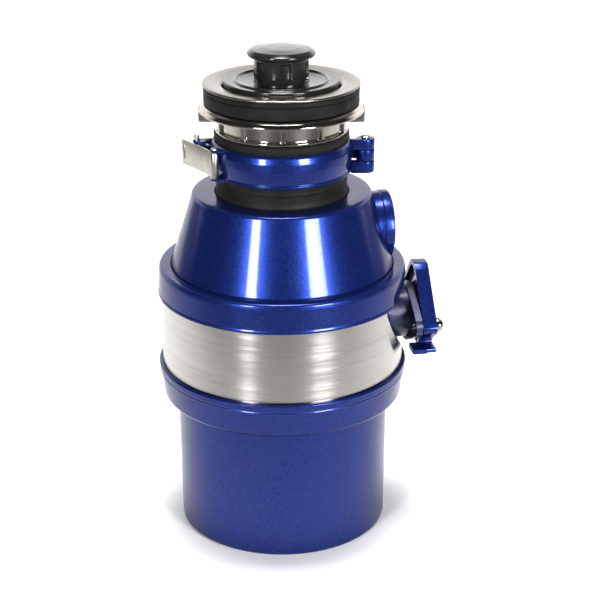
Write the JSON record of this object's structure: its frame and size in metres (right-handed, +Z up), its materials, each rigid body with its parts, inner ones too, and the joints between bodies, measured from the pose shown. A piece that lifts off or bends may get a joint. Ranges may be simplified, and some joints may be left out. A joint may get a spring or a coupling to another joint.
{
  "type": "kitchen garbage disposal",
  "caption": "Food waste disposer with sink flange, stopper, hinged mounting clamp, blue hopper, steel trim band, side discharge flange and motor housing.",
  "frame": {"origin": "on the motor axis, at the flat underside of the motor housing", "axes": "+Z up along the motor axis to the sink, +X out through the discharge and the dishwasher inlet, -Y towards the front"},
  "size_m": [0.2106, 0.188, 0.3703],
  "materials": {
    "blue_paint": "metallic gloss",
    "dark_casting": "satin",
    "stainless": "brushed",
    "chrome_plate": "polished",
    "black_plastic": "satin",
    "black_rubber": "matte",
    "bearing_bronze": "machined",
    "copper": "satin",
    "electrical_steel": "lacquered",
    "cast_aluminium": "as cast",
    "ferrite": "matte",
    "carbon": "matte",
    "zinc_steel": "zinc plated",
    "red_plastic": "gloss"
  },
  "bodies": {
    "housing": {"motor_housing": "blue_paint", "lower_collar": "blue_paint", "upper_collar": "blue_paint", "upper_housing": "blue_paint", "clamp_rear_half": "blue_paint", "discharge_flange": "blue_paint", "discharge_body": "dark_casting", "trim_band": "stainless", "sink_flange": "stainless", "grind_ring": "stainless", "latch_keeper_pin": "stainless", "clamp_hinge_pin": "stainless", "discharge_bolt_front": "chrome_plate", "discharge_bolt_rear": "chrome_plate", "inlet_plug": "black_plastic", "cable_bushing": "black_plastic", "overload_protector": "black_plastic", "rectifier": "black_plastic", "sink_gasket_upper": "black_rubber", "sink_gasket_lower": "black_rubber", "cushion_mount": "black_rubber", "splash_guard": "black_rubber", "shaft_seal": "black_rubber", "discharge_gasket": "black_rubber", "upper_bearing": "bearing_bronze", "lower_bearing": "bearing_bronze", "brush_holder_a": "bearing_bronze", "brush_holder_b": "bearing_bronze", "motor_yoke": "electrical_steel", "lower_bracket": "cast_aluminium", "magnet_1": "ferrite", "magnet_2": "ferrite", "magnet_3": "ferrite", "magnet_4": "ferrite", "terminal_cover": "zinc_steel", "terminal_cover_screw": "zinc_steel", "through_bolt_1": "zinc_steel", "through_bolt_2": "zinc_steel", "through_bolt_3": "zinc_steel", "brush_spring_a": "zinc_steel", "brush_spring_b": "zinc_steel"},
    "stopper_plug": {"stopper": "black_plastic", "stopper_seal": "black_rubber"},
    "sink_nut": {"mounting_nut": "chrome_plate"},
    "clamp_front": {"clamp_front_half": "blue_paint", "latch_pivot_pin": "stainless"},
    "latch": {"latch_lever": "stainless"},
    "rotor": {"rotor_shaft": "stainless", "turntable": "stainless", "turntable_nut": "bearing_bronze", "impeller_rivet_a": "stainless", "impeller_rivet_b": "stainless", "armature_core": "electrical_steel", "armature_winding": "copper", "commutator": "copper"},
    "swing_impeller_a": {"impeller_a": "stainless"},
    "swing_impeller_b": {"impeller_b": "stainless"},
    "reset": {"reset_button": "red_plastic"},
    "brush_a": {"carbon_brush_a": "carbon"},
    "brush_b": {"carbon_brush_b": "carbon"}
  },
  "joints": [
    {"name": "stopper_lift", "type": "slide", "parent": "housing", "child": "stopper_plug", "axis": [0, 0, 1], "range_m": [0, 0.12]},
    {"name": "sink_nut_turn", "type": "hinge", "parent": "housing", "child": "sink_nut", "pos_m": [0, 0, 0.32], "axis": [0, 0, 1], "continuous": true},
    {"name": "clamp_swing", "type": "hinge", "parent": "housing", "child": "clamp_front", "pos_m": [0.06007, -0.01059, 0.29], "axis": [0, 0, 1], "range_deg": [0, 95]},
    {"name": "latch_swing", "type": "hinge", "parent": "clamp_front", "child": "latch", "pos_m": [-0.05195, -0.02049, 0.29], "axis": [0, 0, 1], "range_deg": [0, 75]},
    {"name": "rotor_spin", "type": "hinge", "parent": "housing", "child": "rotor", "pos_m": [0, 0, 0.1], "axis": [0, 0, 1], "continuous": true},
    {"name": "impeller_a_swivel", "type": "hinge", "parent": "rotor", "child": "swing_impeller_a", "pos_m": [0.044, 0, 0.2], "axis": [0, 0, 1], "continuous": true},
    {"name": "impeller_b_swivel", "type": "hinge", "parent": "rotor", "child": "swing_impeller_b", "pos_m": [-0.044, 0, 0.2], "axis": [0, 0, 1], "continuous": true},
    {"name": "reset_press", "type": "slide", "parent": "housing", "child": "reset", "axis": [0, 0, 1], "range_m": [0, 0.0025], "stiffness_N_per_m": 400},
    {"name": "brush_a_slide", "type": "slide", "parent": "housing", "child": "brush_a", "axis": [0, 1, 0], "range_m": [0, 0.004], "stiffness_N_per_m": 200, "springref_m": -0.002, "deforming": ["brush_spring_a"]},
    {"name": "brush_b_slide", "type": "slide", "parent": "housing", "child": "brush_b", "axis": [0, -1, 0], "range_m": [0, 0.004], "stiffness_N_per_m": 200, "springref_m": -0.002, "deforming": ["brush_spring_b"]}
  ]
}
